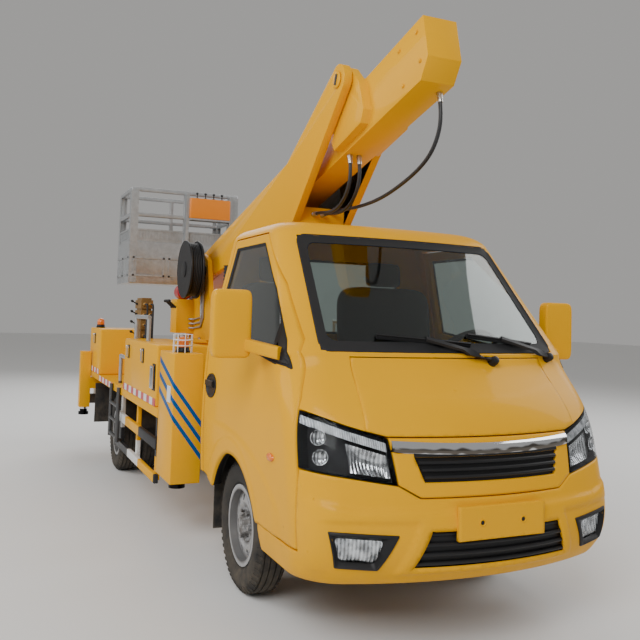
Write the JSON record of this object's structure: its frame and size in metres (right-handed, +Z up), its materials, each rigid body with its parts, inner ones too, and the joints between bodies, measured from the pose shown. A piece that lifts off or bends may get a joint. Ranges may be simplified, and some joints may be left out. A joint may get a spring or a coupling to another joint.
{
  "type": "cherry picker truck",
  "caption": "Light cab-over truck with a slewing folding boom, telescopic fly, levelled work bucket and jack legs.",
  "frame": {"origin": "on the ground, at mid length and mid width", "axes": "+X forward, +Y to the driver's left, +Z up"},
  "size_m": [5.995, 2.14, 2.9729],
  "materials": {
    "paint_yellow": "gloss yellow paint",
    "trim_black": "grained black",
    "window_glass": "tinted",
    "lamp_glass": "clear lens",
    "tyre_rubber": "worn black",
    "wheel_silver": "silver paint",
    "frame_black": "satin black",
    "galvanised": "grey galvanised",
    "cast_parts": "rough",
    "rod_chrome": "polished",
    "pin_steel": "turned",
    "seat_cloth": "woven grey",
    "soft_rubber": "matt black",
    "tail_red": "red lens"
  },
  "bodies": {
    "chassis": {"chassis_frame": "frame_black", "front_axle": "cast_parts", "leaf_springs": "frame_black", "rear_axle": "cast_parts", "driveline": "cast_parts", "fuel_tank": "frame_black", "cab_body": "paint_yellow", "front_panels": "paint_yellow", "grilles": "trim_black", "bumper": "paint_yellow", "front_lamps": "lamp_glass", "cab_glass": "window_glass", "seats": "seat_cloth", "cab_controls": "trim_black", "deck": "paint_yellow", "deck_boxes": "paint_yellow", "side_guards": "paint_yellow", "mudguards": "soft_rubber", "rear_bumper": "frame_black", "tail_lamps": "tail_red", "handrails": "galvanised", "outrigger_tubes": "frame_black"},
    "turret": {"turret": "paint_yellow", "cable_reel": "trim_black"},
    "lower_boom": {"lower_boom": "paint_yellow", "hose_short_right": "soft_rubber", "hose_short_left": "soft_rubber", "hose_long": "soft_rubber"},
    "lift_barrel": {"lift_barrel": "paint_yellow"},
    "lift_rod": {"lift_rod": "rod_chrome"},
    "tip_pin": {"tip_pin": "pin_steel"},
    "upper_boom": {"upper_boom": "paint_yellow"},
    "fly_boom": {"fly_boom": "paint_yellow"},
    "level_bracket": {"level_bracket": "paint_yellow"},
    "bucket": {"bucket": "galvanised", "control_box": "paint_yellow"},
    "door_right": {"door_right": "paint_yellow", "door_glass_right": "window_glass", "mirror_right": "paint_yellow"},
    "knuckle_right": {"knuckle_right": "cast_parts"},
    "wheel_front_right": {"tyre_front_right": "tyre_rubber", "rim_front_right": "wheel_silver"},
    "wheel_rear_right": {"tyres_rear_right": "tyre_rubber", "rims_rear_right": "wheel_silver"},
    "outrigger_front_right": {"outrigger_front_right": "paint_yellow"},
    "leg_front_right": {"leg_front_right": "rod_chrome"},
    "outrigger_rear_right": {"outrigger_rear_right": "paint_yellow"},
    "leg_rear_right": {"leg_rear_right": "rod_chrome"},
    "door_left": {"door_left": "paint_yellow", "door_glass_left": "window_glass", "mirror_left": "paint_yellow"},
    "knuckle_left": {"knuckle_left": "cast_parts"},
    "wheel_front_left": {"tyre_front_left": "tyre_rubber", "rim_front_left": "wheel_silver"},
    "wheel_rear_left": {"tyres_rear_left": "tyre_rubber", "rims_rear_left": "wheel_silver"},
    "outrigger_front_left": {"outrigger_front_left": "paint_yellow"},
    "leg_front_left": {"leg_front_left": "rod_chrome"},
    "outrigger_rear_left": {"outrigger_rear_left": "paint_yellow"},
    "leg_rear_left": {"leg_rear_left": "rod_chrome"}
  },
  "joints": [
    {"name": "steer_left", "type": "hinge", "parent": "chassis", "child": "knuckle_left", "pos_m": [1.7975, 0.6, 0.34], "axis": [0, 0, 1], "range_deg": [-35, 35]},
    {"name": "steer_right", "type": "hinge", "parent": "chassis", "child": "knuckle_right", "pos_m": [1.7975, -0.6, 0.34], "axis": [0, 0, 1], "range_deg": [-35, 35]},
    {"name": "wheel_front_right_spin", "type": "hinge", "parent": "knuckle_right", "child": "wheel_front_right", "pos_m": [1.7975, -0.695, 0.34], "axis": [0, 1, 0], "continuous": true},
    {"name": "wheel_rear_right_spin", "type": "hinge", "parent": "chassis", "child": "wheel_rear_right", "pos_m": [-1.5025, -0.7, 0.34], "axis": [0, 1, 0], "continuous": true},
    {"name": "door_right_hinge", "type": "hinge", "parent": "chassis", "child": "door_right", "pos_m": [2.6895, -0.812, 1.1], "axis": [0, 0, 1], "range_deg": [0, 65]},
    {"name": "wheel_front_left_spin", "type": "hinge", "parent": "knuckle_left", "child": "wheel_front_left", "pos_m": [1.7975, 0.695, 0.34], "axis": [0, 1, 0], "continuous": true},
    {"name": "wheel_rear_left_spin", "type": "hinge", "parent": "chassis", "child": "wheel_rear_left", "pos_m": [-1.5025, 0.7, 0.34], "axis": [0, 1, 0], "continuous": true},
    {"name": "door_left_hinge", "type": "hinge", "parent": "chassis", "child": "door_left", "pos_m": [2.6895, 0.812, 1.1], "axis": [0, 0, -1], "range_deg": [0, 65]},
    {"name": "slew", "type": "hinge", "parent": "chassis", "child": "turret", "pos_m": [-1.1525, 0, 1.18], "axis": [0, 0, 1], "continuous": true},
    {"name": "lower_lift", "type": "hinge", "parent": "turret", "child": "lower_boom", "pos_m": [-1.1025, 0, 1.86], "axis": [0, -1, 0], "range_deg": [0, 75]},
    {"name": "lift_barrel_pivot", "type": "hinge", "parent": "turret", "child": "lift_barrel", "pos_m": [-0.8525, 0, 1.35], "axis": [0, -1, 0], "range_deg": [0, 59.2]},
    {"name": "lift_rod_stroke", "type": "slide", "parent": "lift_barrel", "child": "lift_rod", "axis": [0.8739, 0, 0.4861], "range_m": [0, 0.644]},
    {"name": "tip_follow", "type": "hinge", "parent": "lower_boom", "child": "tip_pin", "pos_m": [1.6575, 0, 2.83], "axis": [0, -1, 0], "range_deg": [-75, 0]},
    {"name": "upper_lift", "type": "hinge", "parent": "tip_pin", "child": "upper_boom", "pos_m": [1.6575, 0, 2.83], "axis": [0, 1, 0], "range_deg": [0, 95], "deforming": ["hose_short_right", "hose_short_left", "hose_long"]},
    {"name": "telescope", "type": "slide", "parent": "upper_boom", "child": "fly_boom", "axis": [-0.9703, 0, -0.2419], "range_m": [0, 3]},
    {"name": "bucket_level", "type": "hinge", "parent": "fly_boom", "child": "level_bracket", "pos_m": [-1.94122, 0, 1.72146], "axis": [0, -1, 0], "range_deg": [0, 95]},
    {"name": "bucket_swing", "type": "hinge", "parent": "level_bracket", "child": "bucket", "pos_m": [-2.1875, 0, 1.9], "axis": [0, 0, 1], "range_deg": [-60, 60]},
    {"name": "outrigger_front_right_slide", "type": "slide", "parent": "chassis", "child": "outrigger_front_right", "axis": [0, -1, 0], "range_m": [0, 0.45]},
    {"name": "leg_front_right_slide", "type": "slide", "parent": "outrigger_front_right", "child": "leg_front_right", "axis": [0, 0, -1], "range_m": [0, 0.335]},
    {"name": "outrigger_front_left_slide", "type": "slide", "parent": "chassis", "child": "outrigger_front_left", "axis": [0, 1, 0], "range_m": [0, 0.45]},
    {"name": "leg_front_left_slide", "type": "slide", "parent": "outrigger_front_left", "child": "leg_front_left", "axis": [0, 0, -1], "range_m": [0, 0.335]},
    {"name": "outrigger_rear_right_slide", "type": "slide", "parent": "chassis", "child": "outrigger_rear_right", "axis": [0, -1, 0], "range_m": [0, 0.45]},
    {"name": "leg_rear_right_slide", "type": "slide", "parent": "outrigger_rear_right", "child": "leg_rear_right", "axis": [0, 0, -1], "range_m": [0, 0.335]},
    {"name": "outrigger_rear_left_slide", "type": "slide", "parent": "chassis", "child": "outrigger_rear_left", "axis": [0, 1, 0], "range_m": [0, 0.45]},
    {"name": "leg_rear_left_slide", "type": "slide", "parent": "outrigger_rear_left", "child": "leg_rear_left", "axis": [0, 0, -1], "range_m": [0, 0.335]}
  ],
  "couplings": [
    {"joint": "steer_right", "follows": "steer_left", "ratio": 1},
    {"joint": "lift_barrel_pivot", "follows": "lower_lift", "ratio": 0.78828},
    {"joint": "lift_rod_stroke", "follows": "lower_lift", "m_per_rad": 0.49102},
    {"joint": "tip_follow", "follows": "lower_lift", "ratio": -1},
    {"joint": "bucket_level", "follows": "upper_lift", "ratio": 1}
  ]
}
